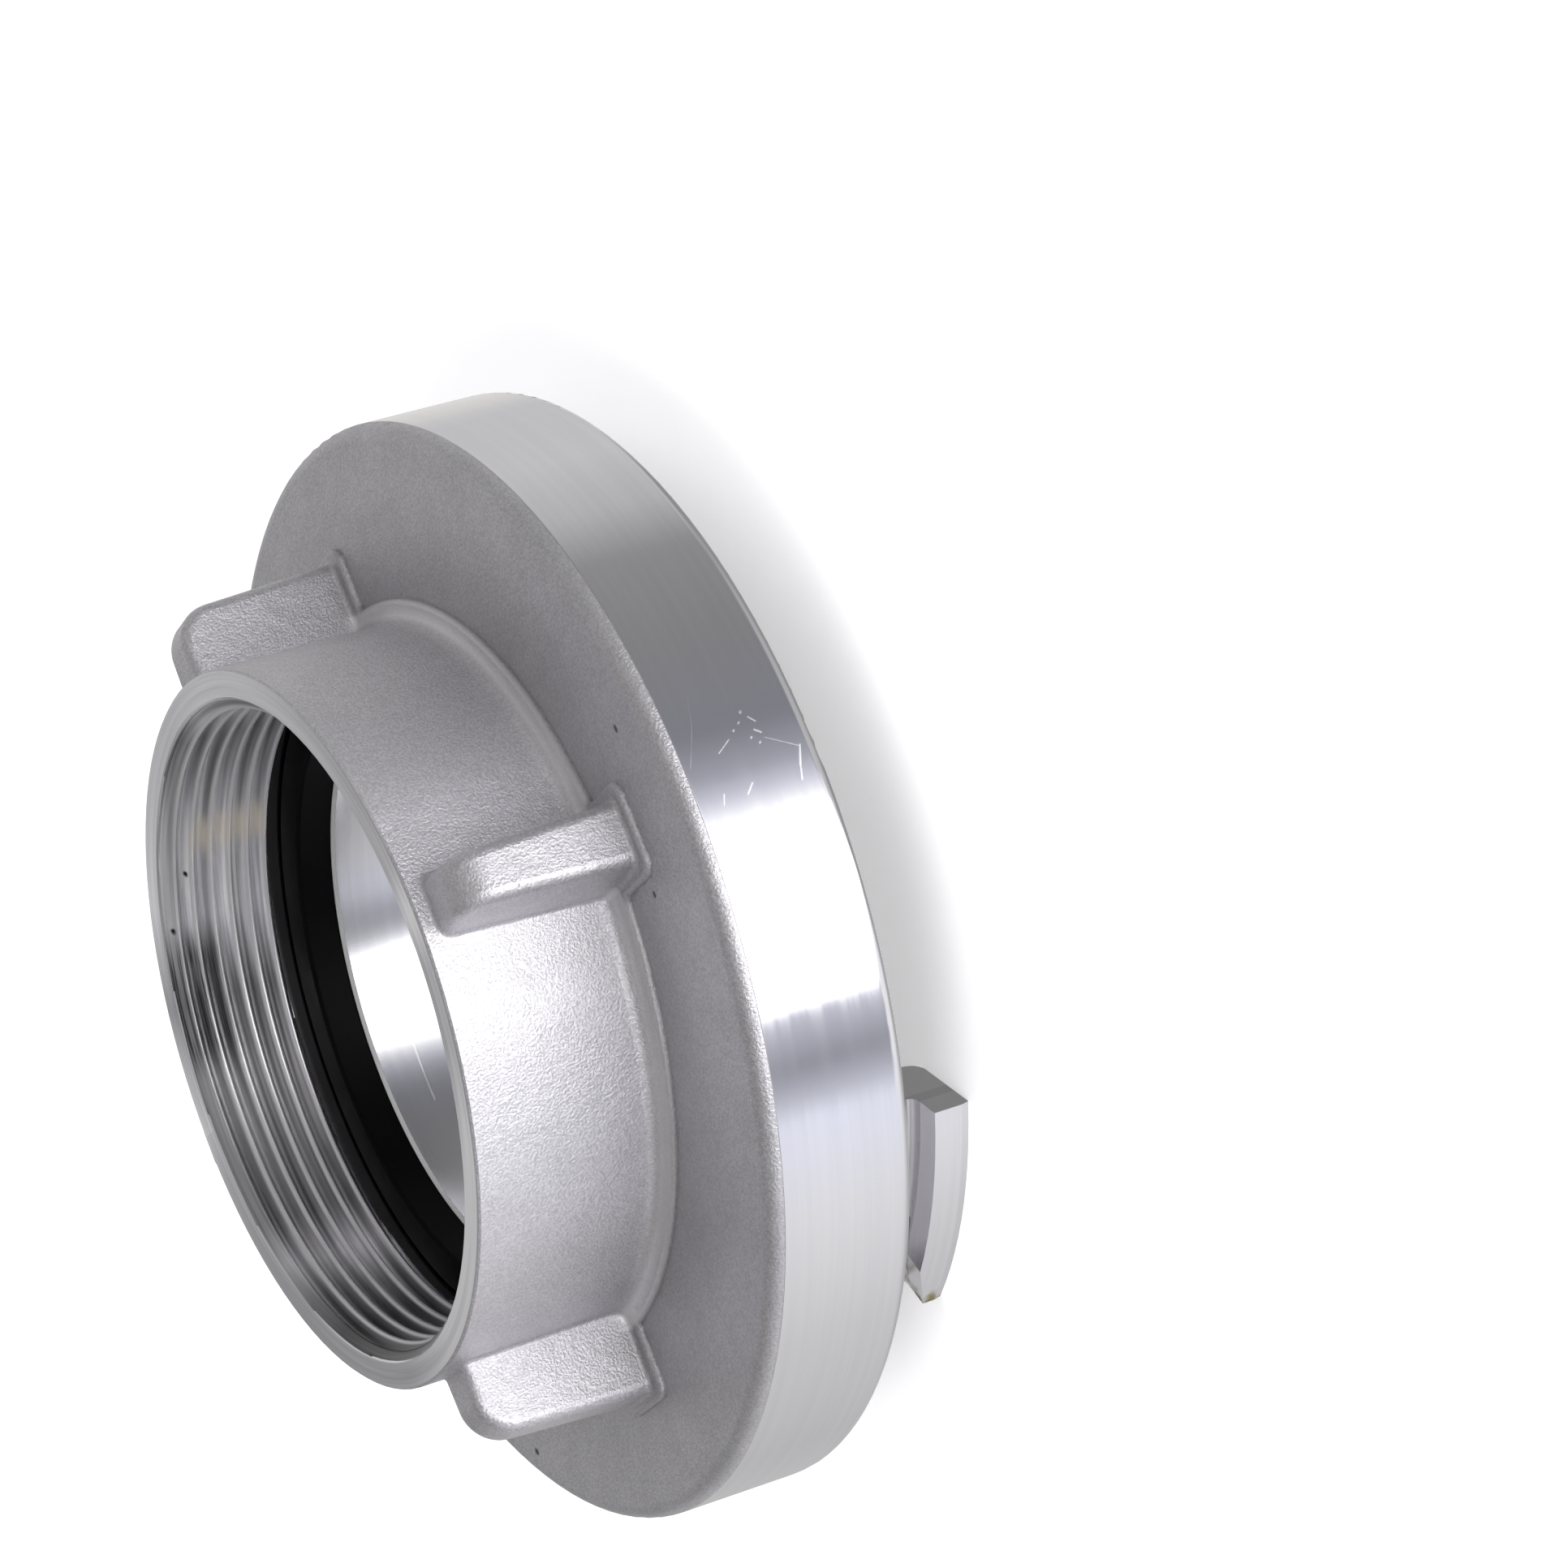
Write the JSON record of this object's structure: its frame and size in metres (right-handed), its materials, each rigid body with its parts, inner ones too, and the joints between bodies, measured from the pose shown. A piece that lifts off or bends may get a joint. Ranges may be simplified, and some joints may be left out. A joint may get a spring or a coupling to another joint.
{
  "type": "quarter turn fire hose coupling",
  "caption": "Fixed quarter turn hose coupling: a flanged ring with hooked claws, spanner lugs and a threaded socket, sealed by rubber rings.",
  "frame": {"origin": "on the bore axis at the height of the claw tips, the centre of the bottom of the bounding box", "axes": "+Z along the bore out of the threaded mouth, +X through one spanner lug"},
  "size_m": [0.126, 0.126, 0.0515],
  "materials": {
    "cast_aluminium": "blasted casting, turned bright on the rim, the faces and the bore",
    "black_rubber": "satin moulded rubber"
  },
  "bodies": {
    "root": {"coupling_body": "cast_aluminium", "face_seal": "black_rubber", "thread_gasket": "black_rubber"}
  },
  "joints": []
}
